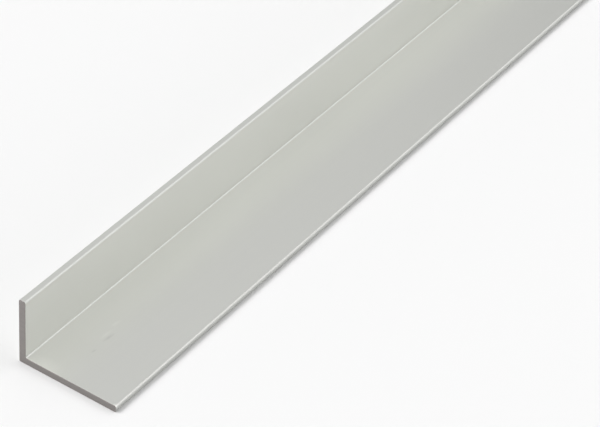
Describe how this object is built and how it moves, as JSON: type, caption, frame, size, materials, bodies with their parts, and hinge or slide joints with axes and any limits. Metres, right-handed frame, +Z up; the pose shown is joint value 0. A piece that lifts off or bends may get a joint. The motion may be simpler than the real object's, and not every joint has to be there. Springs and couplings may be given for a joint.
{
  "type": "metal angle section",
  "caption": "Straight bar of unequal aluminium angle: a wide and a narrow leg at right angles, satin finish, rounded tips, square sawn ends.",
  "frame": {"origin": "middle of the bar's length and of the wide leg's width, on the surface that the wide leg lies on", "axes": "+Y along the bar, +Z up from the surface it lies on, +X from the narrow upright leg towards the wide leg's tip"},
  "size_m": [0.03, 1, 0.02],
  "materials": {
    "satin_aluminium": "satin silver anodised, ends sawn"
  },
  "bodies": {
    "root": {"angle_section": "satin_aluminium"}
  },
  "joints": []
}
